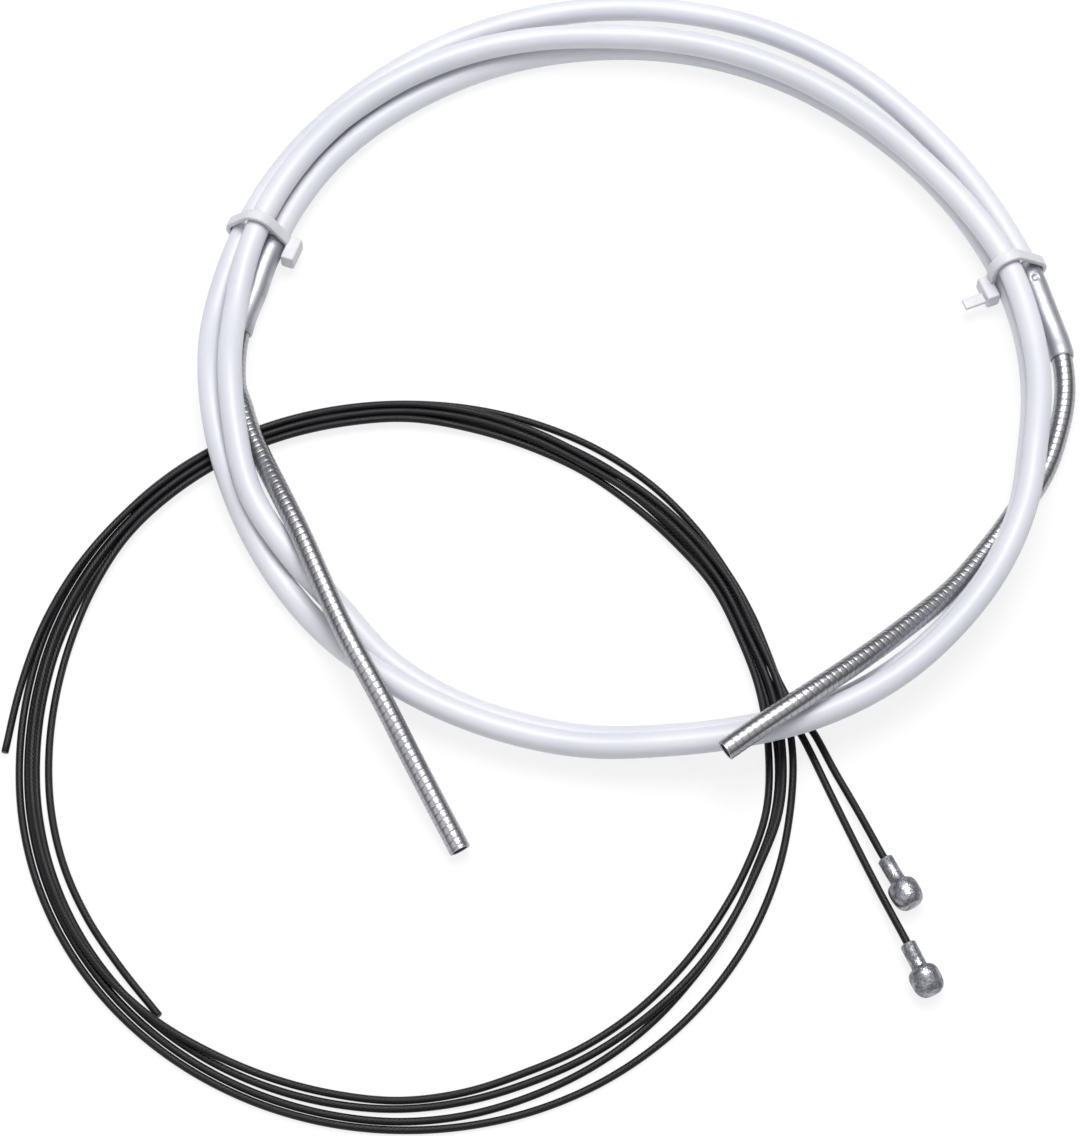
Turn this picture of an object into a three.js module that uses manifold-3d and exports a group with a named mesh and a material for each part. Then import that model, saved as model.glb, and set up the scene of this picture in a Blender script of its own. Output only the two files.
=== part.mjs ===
// Brake cable set for a bicycle, in millimetres, lying on a table with +Z up.
// One coiled outer casing, held by two cable ties, and two coated inner wires coiled beside it.
// The origin is the middle of the table area that the set covers.

import * as THREE from 'three';
import Module from 'manifold-3d';
import { mergeVertices } from 'three/addons/utils/BufferGeometryUtils.js';

// Outer casing: a plastic jacket over a tube of coiled flat wire, with a slippery liner inside
const JACKET_DIAMETER = 5.0;
const JACKET_BORE = 4.4;
const FLAT_WIRE_DIAMETER = 4.3;
const FLAT_WIRE_BORE = 3.0;
const LINER_DIAMETER = 2.8;
const LINER_BORE = 2.2;
const LINER_RECESS = 2;
const SLEEVE_DIAMETER = 5.2;
const SLEEVE_BORE = 4.4;
const SLEEVE_LENGTH = 22;
const DIMPLE_RADIUS = 1.2;
const DIMPLE_DEPTH = 0.3;
const DIMPLE_FROM_JACKET = 4;
const CASING_SIDES = 8;

// Casing coil: its middle on the table, its radius, and the clearance between strands
const CASING_CENTRE = [16.2, 38.3];
const CASING_RADIUS = 87;
const CASING_CLEARANCE = 0.3;
const BARE_END_A_LENGTH = 123;
const BARE_END_B_LENGTH = 126;

// Inner wires: coated strand, with a cast head on one end and a plain cut at the other
const WIRE_DIAMETER = 1.5;
const WIRE_CLEARANCE = 0.15;
const WIRE_SIDES = 8;
const WIRE_CENTRE = [-28.6, -48.5];
const WIRE_RADIUS = 77;
const WIRE_SINK = 3.5;
const WIRE_STRAIGHT = 2;

// Cast heads
const HEAD_DIAMETER = 6;
const HEAD_LENGTH = 5.6;
const COLLAR_DIAMETER = 3.1;
const COLLAR_LENGTH = 5.2;
const HEAD_BORE = 1.9;
const HEAD_BORE_END = 0.3;
const HEAD_SIDES = 16;

// Cable ties
const STRAP_WIDTH = 2.3;
const STRAP_THICKNESS = 1.0;
const STRAP_CLEARANCE = 0.3;
const STRAP_SIDES = 24;
const TIE_HEAD_WIDTH = 2.9;
const TIE_HEAD_LENGTH = 5.4;
const TIE_HEAD_HEIGHT = 4.0;
const TIE_TAIL_LENGTH = 4.5;
const TIE_TAIL_INSET = 0.4;
const TIE_TAIL_ROOT = 1;
const LEFT_TIE = { angle: 159.5, skew: 0, tail: false };
const RIGHT_TIE = { angle: 14, skew: 8, tail: true };

const CASING_PITCH = JACKET_DIAMETER + CASING_CLEARANCE;
const WIRE_PITCH = WIRE_DIAMETER + WIRE_CLEARANCE;
const NESTED_LAYER = Math.sqrt(3) / 2;

const STATION_STEP = 10;

// What the casing lies on around its coil: [angle, rise in mm above the table]
const WIRE_PILE = 2 * WIRE_PITCH + CASING_CLEARANCE;
const BARE_RISE = FLAT_WIRE_DIAMETER + CASING_CLEARANCE;
const STRAP_RISE = STRAP_THICKNESS + STRAP_CLEARANCE + (SLEEVE_DIAMETER - JACKET_DIAMETER) / 2;
const UNDER_CASING = [
  [12, STRAP_RISE],
  [20, STRAP_RISE],
  [50, 0],
  [125, 0],
  [152, STRAP_RISE],
  [163, STRAP_RISE],
  [174, 0],
  [185, WIRE_PILE],
  [197, WIRE_PILE],
  [208, 0.8],
  [218, 0.2],
  [262, 0.2],
  [284, WIRE_PILE],
  [298, WIRE_PILE],
  [329, BARE_RISE],
  [342, BARE_RISE],
  [355, 3.0],
];

// Casing route along the coil: [turning angle, inset in mm from the coil's radius, layer]
const CASING_LAPS = [
  [14, 2.2, 0],
  [20, 3.2, 0],
  [30, 4.0, 0],
  [40, 3.9, 0],
  [50, 3.0, 0],
  [73, 1.7, 0],
  [88, 1.5, 0],
  [120, 2.0, 0],
  [141, 2.5, 0],
  [157, 2.4, 0],
  [163, 2.2, 0],
  [170, 1.5, 0],
  [177, 1.3, 0],
  [184, 1.6, 0],
  [208, 1.2, 0],
  [224, 0.5, 0],
  [234, -0.5, 0.6],
  [244, -0.9, 0.75],
  [258, -1.3, 0.78],
  [271, -1.5, 0.8],
  [285, -2.8, 0.84],
  [300, -3.8, 0.9],
  [326, -1.5, 0.98],
  [346, 3.2, 1],
  [360, 4.9, 1.01],
  [368, 6.6, 1.01],
  [377, 7.7, 1.01],
  [387, 10.6, 1.01],
  [400, 12.2, 1],
  [414, 12.8, 1],
  [448, 12.3, 1],
  [475, 8.5, 0.95],
  [495, 6.1, 0.86],
  [518, 5.7, 0.82],
  [527, 5.9, 0.87],
  [536, 6.2, 1.02],
  [545, 5.9, 0.92],
  [550, 5.6, 0.85],
  [566, 3.8, 0.86],
  [574, 4.8, 0.76],
  [584, 6.0, 0.1],
  [594, 3.8, 0],
  [604, 2.6, 0],
  [631, 1.8, 0],
  [645, 0.3, 0],
  [660, -1.2, 0],
  [686, -0.3, 0],
  [706, 3.9, 0],
  [720, 5.4, 0],
  [737, 8.0, 0],
  [750, 10.2, 0],
  [775, 11.6, 0],
  [808, 11.5, 0],
  [840, 10.3, 0],
  [860, 9.2, 0],
  [874, 9.0, 0],
];

// Bare end A, from its open tip to its sleeve: [turning angle, inset in mm from the coil's radius, height]
const BARE_END_A = [
  [-79.4, -7.1, 15],
  [-74.6, -3.9, 15.7],
  [-68.4, -0.9, 15.5],
  [-59.8, 2.2, 12.6],
  [-50.2, 4.0, 8.8],
  [-39.6, 4.1, 4.6],
  [-30.0, 3.4, 2.3],
  [-23.9, 2.1, 2.2],
  [-19.2, 0.1, 2.2],
  [-13.5, -1.1, 2.2],
  [-6.1, -2.0, 2.4],
  [0.3, -1.4, 2.7],
  [6.6, 0.7, 3.4],
];

// Bare end B, from its sleeve to its open tip, in the same way
const BARE_END_B = [
  [883.3, 8.9, 4],
  [888.4, 8.6, 3.4],
  [893.4, 7.4, 2.8],
  [898.4, 6.7, 2.5],
  [904.2, 6.6, 2.9],
  [908.8, 7.6, 4.4],
  [913.8, 8.2, 5.6],
  [918.7, 8.9, 6.8],
  [926.5, 9.1, 9.4],
  [933.5, 8.1, 10.9],
  [940.0, 5.8, 11.4],
  [946.1, 2.6, 11.3],
  [951.1, -0.6, 11],
  [958.6, -6.3, 8.6],
  [965.0, -13.6, 5.6],
  [972.7, -26.0, 2.2],
];

// Shape of the wire coil: [angle, inset in mm shared by every strand]
const WIRE_DRIFT = [
  [0, 1.0],
  [30, 1.5],
  [60, 0],
  [90, -0.3],
  [120, -0.8],
  [150, 0.5],
  [180, 2.0],
  [210, 1.6],
  [240, 1.0],
  [270, 0.2],
  [300, -0.5],
  [330, 0],
];

// Wire routes along the coil: [turning angle, place across the bundle, layer]
const SHORT_WIRE_LAPS = [
  [30, 0.35, 0],
  [45, 0, 0],
  [240, 0, 0],
  [330, 0, 0],
  [350, 0.1, 0],
  [358, 0.1, 0.6],
  [364, 0.1, 1.15],
  [369, 0.5, 1.2],
  [373, 1.05, 1.1],
  [376, 1.2, 1.05],
  [383, 1.1, 1.05],
  [390, 0.9, 1.05],
  [405, 1.5, 1.17],
  [420, 2.0, 1],
  [435, 1.25, 1.17],
  [450, 0.5, 1],
  [490, 0.5, 1],
  [510, 0, 1.17],
  [523, -0.5, 1.05],
  [532, -1.0, 0.7],
  [541, -1.8, 0],
];
const LONG_WIRE_LAPS = [
  [30, 1.4, 0],
  [60, 1.5, 0],
  [90, 1, 0],
  [240, 1, 0],
  [270, 1, 0],
  [293, 1.9, 0],
  [308, 2.4, 0],
  [322, 2.8, 0],
  [337, 2.7, 0],
  [352, 1.8, 0],
  [365, 1.8, 0],
  [372, 2.55, 0],
  [376, 2.7, 0],
  [383, 2.58, 0],
  [390, 2.45, 0],
  [420, 2.5, 0],
  [450, 2, 0],
  [582, 2, 0],
  [630, 2.5, 0],
  [653, 3.4, 0],
  [664, 3.35, 0.5],
  [676, 3.0, 1.1],
  [685, 2.8, 1.17],
  [697, 2.5, 1.17],
  [712, 1.3, 1.05],
  [727, 1.3, 1.05],
  [733, 2.05, 1.05],
  [736, 2.2, 1.05],
  [743, 2.1, 1.05],
  [750, 1.95, 1.05],
  [765, 2.45, 1.17],
  [775, 2.95, 1.05],
  [780, 3.0, 1],
  [795, 2.25, 1.17],
  [810, 1.5, 1],
  [930, 1.5, 1],
  [948, 2.0, 1.2],
  [960, 2.75, 1.0],
  [972, 3.25, 0.5],
  [982, 3.5, 0],
  [990, 3.5, 0],
  [1013, 4.7, 0],
  [1042, 4.6, 0],
  [1057, 3.9, 0],
  [1072, 2.85, 0],
  [1082, 2.9, 0.4],
  [1090, 3.0, 1.1],
  [1096, 3.2, 1.05],
  [1103, 3.1, 1.05],
  [1110, 2.97, 1.05],
  [1120, 3.4, 0.6],
  [1130, 3.6, 0],
  [1140, 3.5, 0],
  [1155, 3.25, 0.4],
  [1170, 2.5, 1],
  [1220, 2.5, 1],
  [1233, 3.1, 0.6],
  [1245, 3.4, 0],
  [1275, 3.5, 0],
  [1298, 3.75, 0],
  [1310, 3.0, 0],
];

// Wires from their heads to the coil: the mouth of each head's collar, its heading, and the way in
const SHORT_WIRE_HEAD = { mouth: [92.9, -23.2], heading: -62.5 };
const SHORT_WIRE_LEAD = [
  [88.3, -13.2, 2.1],
  [84.0, -4.1, 1.1],
  [80.4, 3.8, 0.75],
  [77.3, 8.4, 0.75],
  [75.0, 12.3, 0.75],
  [73.1, 16.6, 0.75],
  [72.0, 20.1, 0.75],
  [70.5, 24.6, 0.75],
  [68.6, 29.8, 0.75],
];
const LONG_WIRE_HEAD = { mouth: [96.6, -40.6], heading: -66 };
const LONG_WIRE_LEAD = [
  [92.1, -30.4, 2.1],
  [88.3, -21.3, 1.2],
  [83.6, -10.0, 0.75],
  [78.3, 2.6, 0.75],
  [75.7, 7.1, 0.75],
  [73.3, 11.6, 0.75],
  [71.4, 16.0, 0.75],
  [70.3, 19.5, 0.75],
  [68.9, 24.0, 0.75],
  [67.1, 28.9, 0.75],
];

const wasm = await Module();
wasm.setup();

// A route of straight steps whose sections stay upright
class Route extends THREE.Curve {
  constructor(stations) {
    super();
    this.stations = stations;
    this.distances = [0];
    for (let i = 1; i < stations.length; i += 1) {
      this.distances.push(this.distances[i - 1] + stations[i].distanceTo(stations[i - 1]));
    }
  }

  get steps() {
    return this.stations.length - 1;
  }

  get length() {
    return this.distances[this.steps];
  }

  getPoint(t, target = new THREE.Vector3()) {
    const place = Math.min(Math.max(t, 0), 1) * this.steps;
    const step = Math.min(Math.floor(place), this.steps - 1);
    return target.lerpVectors(this.stations[step], this.stations[step + 1], place - step);
  }

  getPointAt(t, target) {
    return this.getPoint(t, target);
  }

  computeFrenetFrames(steps) {
    const frames = { tangents: [], normals: [], binormals: [] };
    for (let i = 0; i <= steps; i += 1) {
      const before = this.stations[Math.max(i - 1, 0)];
      const here = this.stations[i];
      const after = this.stations[Math.min(i + 1, steps)];
      const arriving = new THREE.Vector3().subVectors(here, before).normalize();
      const leaving = new THREE.Vector3().subVectors(after, here).normalize();
      const tangent = arriving.add(leaving).normalize();
      const side = new THREE.Vector3(0, 0, 1).cross(tangent).normalize();
      frames.tangents.push(tangent);
      frames.normals.push(side);
      frames.binormals.push(new THREE.Vector3().crossVectors(tangent, side));
    }
    return frames;
  }

  // The point at a distance along the route
  at(distance) {
    let step = 0;
    while (step < this.steps - 1 && this.distances[step + 1] < distance) {
      step += 1;
    }
    const share = (distance - this.distances[step]) / (this.distances[step + 1] - this.distances[step]);
    return new THREE.Vector3().lerpVectors(this.stations[step], this.stations[step + 1], share);
  }

  // The stretch between two distances, on the same straight steps
  stretch(from, to) {
    const inside = this.stations.filter((_, i) => this.distances[i] > from + 0.01 && this.distances[i] < to - 0.01);
    return new Route([this.at(from), ...inside, this.at(to)]);
  }
}

// Values that change smoothly through rows of [angle, value, value, ...] and never swing past them
function smoothTable(rows) {
  const slopes = rows.map(([angle, ...values], i) => values.map((value, k) => {
    if (i === 0 || i === rows.length - 1) {
      return 0;
    }
    const before = (value - rows[i - 1][k + 1]) / (angle - rows[i - 1][0]);
    const after = (rows[i + 1][k + 1] - value) / (rows[i + 1][0] - angle);
    return before * after > 0 ? (2 * before * after) / (before + after) : 0;
  }));
  return (place) => {
    const next = rows.findIndex((row, i) => i > 0 && (row[0] >= place || i === rows.length - 1));
    const from = rows[next - 1];
    const to = rows[next];
    const span = to[0] - from[0];
    const t = (place - from[0]) / span;
    return from.slice(1).map((value, k) => {
      const rise = (to[k + 1] - value) * t * t * (3 - 2 * t);
      const leaving = slopes[next - 1][k] * t * (1 - t) * (1 - t);
      const arriving = slopes[next][k] * t * t * (t - 1);
      return value + rise + span * (leaving + arriving);
    });
  };
}

// The same for rows that go once around a coil and meet themselves
function smoothRing(rows) {
  const turned = (turn) => rows.map(([angle, ...values]) => [angle + turn, ...values]);
  const laps = [...turned(-360), ...rows, ...turned(360)];
  const table = smoothTable(laps);
  return (angle) => table(((angle % 360) + 360) % 360);
}

// Stations along a coil at even angles; place() gives the inset and height at a turning angle
function coilStations(centre, radius, firstAngle, lastAngle, place) {
  const stations = [];
  for (let angle = firstAngle; angle <= lastAngle; angle += STATION_STEP) {
    stations.push(stationAt(centre, radius, angle, ...place(angle)));
  }
  return stations;
}

function stationAt(centre, radius, angle, inset, height) {
  const turn = THREE.MathUtils.degToRad(angle);
  const reach = radius - inset;
  return new THREE.Vector3(centre[0] + reach * Math.cos(turn), centre[1] + reach * Math.sin(turn), height);
}

function pointsFrom(centre, points) {
  return points.map(([x, y, z]) => new THREE.Vector3(centre[0] + x, centre[1] + y, z));
}

function ring(path, diameter, sides, clockwise = false) {
  for (let i = 0; i < sides; i += 1) {
    const angle = ((clockwise ? -i : i) * 2 * Math.PI) / sides;
    const x = (diameter / 2) * Math.cos(angle);
    const y = (diameter / 2) * Math.sin(angle);
    if (i === 0) {
      path.moveTo(x, y);
    } else {
      path.lineTo(x, y);
    }
  }
  path.closePath();
  return path;
}

// A round section carried along a route, hollow where a bore is given
function sweep(route, diameter, sides, bore = 0) {
  const section = ring(new THREE.Shape(), diameter, sides);
  if (bore > 0) {
    section.holes.push(ring(new THREE.Path(), bore, sides, true));
  }
  return new THREE.ExtrudeGeometry(section, { steps: route.steps, extrudePath: route, curveSegments: 1 });
}

function toSolid(geometry) {
  const bare = geometry.clone();
  bare.deleteAttribute('normal');
  bare.deleteAttribute('uv');
  const merged = mergeVertices(bare, 1e-5);
  return new wasm.Manifold(new wasm.Mesh({
    numProp: 3,
    vertProperties: merged.attributes.position.array,
    triVerts: Uint32Array.from(merged.index.array),
  }));
}

function fromSolid(solid) {
  const mesh = solid.getMesh();
  const geometry = new THREE.BufferGeometry();
  geometry.setAttribute('position', new THREE.BufferAttribute(new Float32Array(mesh.vertProperties), 3));
  geometry.setIndex(new THREE.BufferAttribute(new Uint32Array(mesh.triVerts), 1));
  geometry.computeVertexNormals();
  return geometry;
}

// A sleeve with the dimple that holds it, in its upper side
function dimpledSleeve(route) {
  const place = route.at(route.length - DIMPLE_FROM_JACKET);
  const dimple = new THREE.SphereGeometry(DIMPLE_RADIUS, 12, 8);
  dimple.translate(place.x, place.y, place.z + SLEEVE_DIAMETER / 2 + DIMPLE_RADIUS - DIMPLE_DEPTH);
  const sleeve = sweep(route, SLEEVE_DIAMETER, CASING_SIDES, SLEEVE_BORE);
  return fromSolid(toSolid(sleeve).subtract(toSolid(dimple)));
}

function material(color, roughness, metalness) {
  return new THREE.MeshStandardMaterial({ color, roughness, metalness });
}

const jacketPlastic = material(0xe9e9f2, 0.35, 0);
const springSteel = material(0x9b9ba1, 0.3, 1);
const sleeveSteel = material(0xa9a9ae, 0.35, 1);
const linerPlastic = material(0xf4f1e6, 0.4, 0);
const tieNylon = material(0xcdccca, 0.5, 0);
const wireCoating = material(0x232126, 0.3, 0);
const castZinc = material(0x96989d, 0.45, 1);

const group = new THREE.Group();

function addPiece(name, geometry, finish) {
  const mesh = new THREE.Mesh(geometry, finish);
  mesh.name = name;
  group.add(mesh);
  return mesh;
}

// Outer casing
const casingGround = smoothRing(UNDER_CASING);
const casingLap = smoothTable(CASING_LAPS);

function casingPlace(angle) {
  const [inset, layer] = casingLap(angle);
  const [rise] = casingGround(angle);
  return [inset, JACKET_DIAMETER / 2 + rise + layer * CASING_PITCH];
}

const casingCoil = coilStations(
  CASING_CENTRE,
  CASING_RADIUS,
  CASING_LAPS[0][0],
  CASING_LAPS[CASING_LAPS.length - 1][0],
  casingPlace,
);
const endA = BARE_END_A.map((row) => stationAt(CASING_CENTRE, CASING_RADIUS, ...row));
const endB = BARE_END_B.map((row) => stationAt(CASING_CENTRE, CASING_RADIUS, ...row));
const casing = new Route([...endA, ...casingCoil, ...endB]);

const sleeveAEnd = BARE_END_A_LENGTH + SLEEVE_LENGTH;
const sleeveBStart = casing.length - BARE_END_B_LENGTH - SLEEVE_LENGTH;
const sleeveA = casing.stretch(BARE_END_A_LENGTH, sleeveAEnd);
const sleeveB = casing.stretch(sleeveBStart, sleeveBStart + SLEEVE_LENGTH);
const jacket = casing.stretch(sleeveAEnd + CASING_CLEARANCE, sleeveBStart - CASING_CLEARANCE);
const liner = casing.stretch(LINER_RECESS, casing.length - LINER_RECESS);

addPiece('casing_jacket', sweep(jacket, JACKET_DIAMETER, CASING_SIDES, JACKET_BORE), jacketPlastic);
addPiece('flat_wire_tube', sweep(casing, FLAT_WIRE_DIAMETER, CASING_SIDES, FLAT_WIRE_BORE), springSteel);
addPiece('casing_liner', sweep(liner, LINER_DIAMETER, CASING_SIDES, LINER_BORE), linerPlastic);
addPiece('crimp_sleeve_a', dimpledSleeve(sleeveA), sleeveSteel);
addPiece('crimp_sleeve_b', sweep(sleeveB, SLEEVE_DIAMETER, CASING_SIDES, SLEEVE_BORE), sleeveSteel);

// Cable ties: a strap drawn tight around the three strands that cross the tie's line, which meets the
// coil's radius at the tie's angle and is skewed from the way out there
function tieLine(tie) {
  const rim = stationAt(CASING_CENTRE, CASING_RADIUS, tie.angle, 0, 0);
  const turn = THREE.MathUtils.degToRad(tie.angle + tie.skew);
  const outward = new THREE.Vector3(Math.cos(turn), Math.sin(turn), 0);
  return { outward, origin: rim.addScaledVector(outward, -CASING_RADIUS) };
}

function strandsAt({ outward, origin }) {
  const along = new THREE.Vector3(-outward.y, outward.x, 0);
  const strands = [];
  for (let i = 0; i < casing.steps; i += 1) {
    const from = casing.stations[i].clone().sub(origin);
    const to = casing.stations[i + 1].clone().sub(origin);
    const before = from.dot(along);
    const after = to.dot(along);
    if (before < 0 && after >= 0 && from.dot(outward) > 0) {
      const place = from.lerp(to, before / (before - after));
      strands.push(new THREE.Vector2(place.dot(outward), place.z));
    }
  }
  return strands;
}

function hullAround(strands, reach) {
  const points = strands.flatMap((strand) => Array.from({ length: STRAP_SIDES }, (_, i) => {
    const turn = ((i - STRAP_SIDES / 4) * 2 * Math.PI) / STRAP_SIDES;
    return new THREE.Vector2(strand.x + reach * Math.cos(turn), strand.y + reach * Math.sin(turn));
  }));
  points.sort((a, b) => a.x - b.x || a.y - b.y);
  const chain = (list) => {
    const kept = [];
    for (const point of list) {
      while (kept.length > 1 && turnOf(kept[kept.length - 2], kept[kept.length - 1], point) <= 1e-9) {
        kept.pop();
      }
      kept.push(point);
    }
    return kept.slice(0, -1);
  };
  return [...chain(points), ...chain(points.reverse())];
}

function turnOf(a, b, c) {
  return (b.x - a.x) * (c.y - a.y) - (b.y - a.y) * (c.x - a.x);
}

function cableTie(tie) {
  const line = tieLine(tie);
  const strands = strandsAt(line);
  const inner = SLEEVE_DIAMETER / 2 + STRAP_CLEARANCE;
  const section = new THREE.Shape(hullAround(strands, inner + STRAP_THICKNESS));
  section.holes.push(new THREE.Path(hullAround(strands, inner).reverse()));
  const strap = new THREE.ExtrudeGeometry(section, { depth: STRAP_WIDTH, bevelEnabled: false });
  strap.translate(0, 0, -STRAP_WIDTH / 2);
  const inside = Math.min(...strands.map((strand) => strand.x)) - inner;
  const lowest = Math.min(...strands.map((strand) => strand.y));
  const side = tie.tail ? 1 : -1;
  const headMiddle = side * (TIE_HEAD_LENGTH / 2 - STRAP_WIDTH / 2);
  const head = new THREE.BoxGeometry(TIE_HEAD_WIDTH, TIE_HEAD_HEIGHT, TIE_HEAD_LENGTH);
  head.translate(inside - TIE_HEAD_WIDTH / 2, lowest, headMiddle);
  let solid = toSolid(strap).add(toSolid(head));
  if (tie.tail) {
    const tail = new THREE.BoxGeometry(TIE_TAIL_LENGTH + TIE_TAIL_ROOT, STRAP_THICKNESS, STRAP_WIDTH);
    tail.translate(
      inside - TIE_HEAD_WIDTH - (TIE_TAIL_LENGTH - TIE_TAIL_ROOT) / 2,
      lowest,
      side * (TIE_HEAD_LENGTH - STRAP_WIDTH - TIE_TAIL_INSET),
    );
    solid = solid.add(toSolid(tail));
  }
  const up = new THREE.Vector3(0, 0, 1);
  const geometry = fromSolid(solid);
  geometry.applyMatrix4(new THREE.Matrix4().makeBasis(line.outward, up, line.outward.clone().cross(up)));
  geometry.translate(line.origin.x, line.origin.y, 0);
  return geometry;
}

addPiece('cable_tie_left', cableTie(LEFT_TIE), tieNylon);
addPiece('cable_tie_right', cableTie(RIGHT_TIE), tieNylon);

// Inner wires
const wireDrift = smoothRing(WIRE_DRIFT);

function wireRoute(laps, head, lead) {
  const table = smoothTable(laps);
  const coil = coilStations(WIRE_CENTRE, WIRE_RADIUS, laps[0][0], laps[laps.length - 1][0], (angle) => {
    const [place, layer] = table(angle);
    const [drift] = wireDrift(angle);
    return [drift + place * WIRE_PITCH, WIRE_DIAMETER / 2 + layer * NESTED_LAYER * WIRE_PITCH];
  });
  const mouth = new THREE.Vector3(WIRE_CENTRE[0] + head.mouth[0], WIRE_CENTRE[1] + head.mouth[1], HEAD_DIAMETER / 2);
  const turn = THREE.MathUtils.degToRad(head.heading);
  const heading = new THREE.Vector3(Math.cos(turn), Math.sin(turn), 0);
  const start = [
    mouth.clone().addScaledVector(heading, WIRE_SINK),
    mouth.clone(),
    mouth.clone().addScaledVector(heading, -WIRE_STRAIGHT),
  ];
  return new Route([...start, ...pointsFrom(WIRE_CENTRE, lead), ...coil]);
}

// A cast head on its collar, turned about its own axis, with the wire's bore in the collar
function wireHead(head) {
  const neck = COLLAR_LENGTH;
  const end = COLLAR_LENGTH + HEAD_LENGTH;
  const collar = COLLAR_DIAMETER / 2;
  const bulb = HEAD_DIAMETER / 2;
  const outline = [
    [0, WIRE_SINK + HEAD_BORE_END],
    [HEAD_BORE / 2, WIRE_SINK + HEAD_BORE_END],
    [HEAD_BORE / 2, 0],
    [collar, 0],
    [collar, neck],
    [collar + (bulb - collar) * 0.68, neck + HEAD_LENGTH * 0.1],
    [bulb, neck + HEAD_LENGTH * 0.36],
    [bulb, neck + HEAD_LENGTH * 0.6],
    [bulb * 0.87, neck + HEAD_LENGTH * 0.86],
    [bulb * 0.62, end],
    [0, end],
  ];
  const profile = outline.map(([radius, along]) => new THREE.Vector2(radius, along));
  const geometry = new THREE.LatheGeometry(profile, HEAD_SIDES);
  geometry.rotateZ(-Math.PI / 2);
  geometry.rotateZ(THREE.MathUtils.degToRad(head.heading));
  geometry.translate(WIRE_CENTRE[0] + head.mouth[0], WIRE_CENTRE[1] + head.mouth[1], bulb);
  return geometry;
}

const shortWire = wireRoute(SHORT_WIRE_LAPS, SHORT_WIRE_HEAD, SHORT_WIRE_LEAD);
const longWire = wireRoute(LONG_WIRE_LAPS, LONG_WIRE_HEAD, LONG_WIRE_LEAD);
addPiece('inner_wire_short', sweep(shortWire, WIRE_DIAMETER, WIRE_SIDES), wireCoating);
addPiece('inner_wire_long', sweep(longWire, WIRE_DIAMETER, WIRE_SIDES), wireCoating);
addPiece('wire_head_short', wireHead(SHORT_WIRE_HEAD), castZinc);
addPiece('wire_head_long', wireHead(LONG_WIRE_HEAD), castZinc);

export default group;
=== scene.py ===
"""Brake cable set lying on a white table: a coiled outer casing in two cable ties, and two inner wires.

Every length is in metres and every angle in degrees unless a name says otherwise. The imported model
gives the frame, and each piece below stands for one of its nodes on the same route.
"""

import logging
import math
from dataclasses import dataclass, field
from enum import Enum

import bpy
import numpy as np
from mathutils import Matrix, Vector


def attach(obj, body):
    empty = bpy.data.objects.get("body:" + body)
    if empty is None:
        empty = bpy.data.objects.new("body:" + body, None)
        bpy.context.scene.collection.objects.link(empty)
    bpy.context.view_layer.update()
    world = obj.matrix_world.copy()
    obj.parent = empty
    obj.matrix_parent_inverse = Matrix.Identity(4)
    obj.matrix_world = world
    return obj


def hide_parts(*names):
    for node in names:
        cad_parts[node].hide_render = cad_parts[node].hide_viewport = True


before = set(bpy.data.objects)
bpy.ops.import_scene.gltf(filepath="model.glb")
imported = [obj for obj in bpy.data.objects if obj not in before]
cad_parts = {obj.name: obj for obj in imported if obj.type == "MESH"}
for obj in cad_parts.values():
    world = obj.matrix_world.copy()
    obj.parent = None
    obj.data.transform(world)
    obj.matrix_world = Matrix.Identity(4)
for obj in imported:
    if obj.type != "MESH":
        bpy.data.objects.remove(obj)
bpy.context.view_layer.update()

log = logging.getLogger("brake_cable_set")

BODY = "root"
UP = np.array((0.0, 0.0, 1.0))
UV_NAME = "around_along"
# The point attribute of groove depth, which the flat wire's painted groove shade reads
GROOVE_NAME = "groove"

# Degrees between stations, steps from one to the next, and how far to each side a tangent is read
STATION_STEP = 10
SPAN_STEPS = 12
TANGENT_REACH = 0.0004

# The angle above which an edge stays sharp, and how square the corners of a rounded section are
CREASE = 40
CORNER_POWER = 0.3

# The colour sockets of a Mix node, which share their names with its other sockets
MIX_FIRST = 6
MIX_SECOND = 7
MIX_RESULT = 2

# Where the noise of the fine lines starts to show: at no share, less by a full share, and how softly
LINE_TOP = 0.75
LINE_REACH = 0.4
LINE_SOFTNESS = 0.12

Array = np.ndarray
Piece = bpy.types.Object
Material = bpy.types.Material
Socket = bpy.types.NodeSocket
Tree = bpy.types.NodeTree

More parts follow.
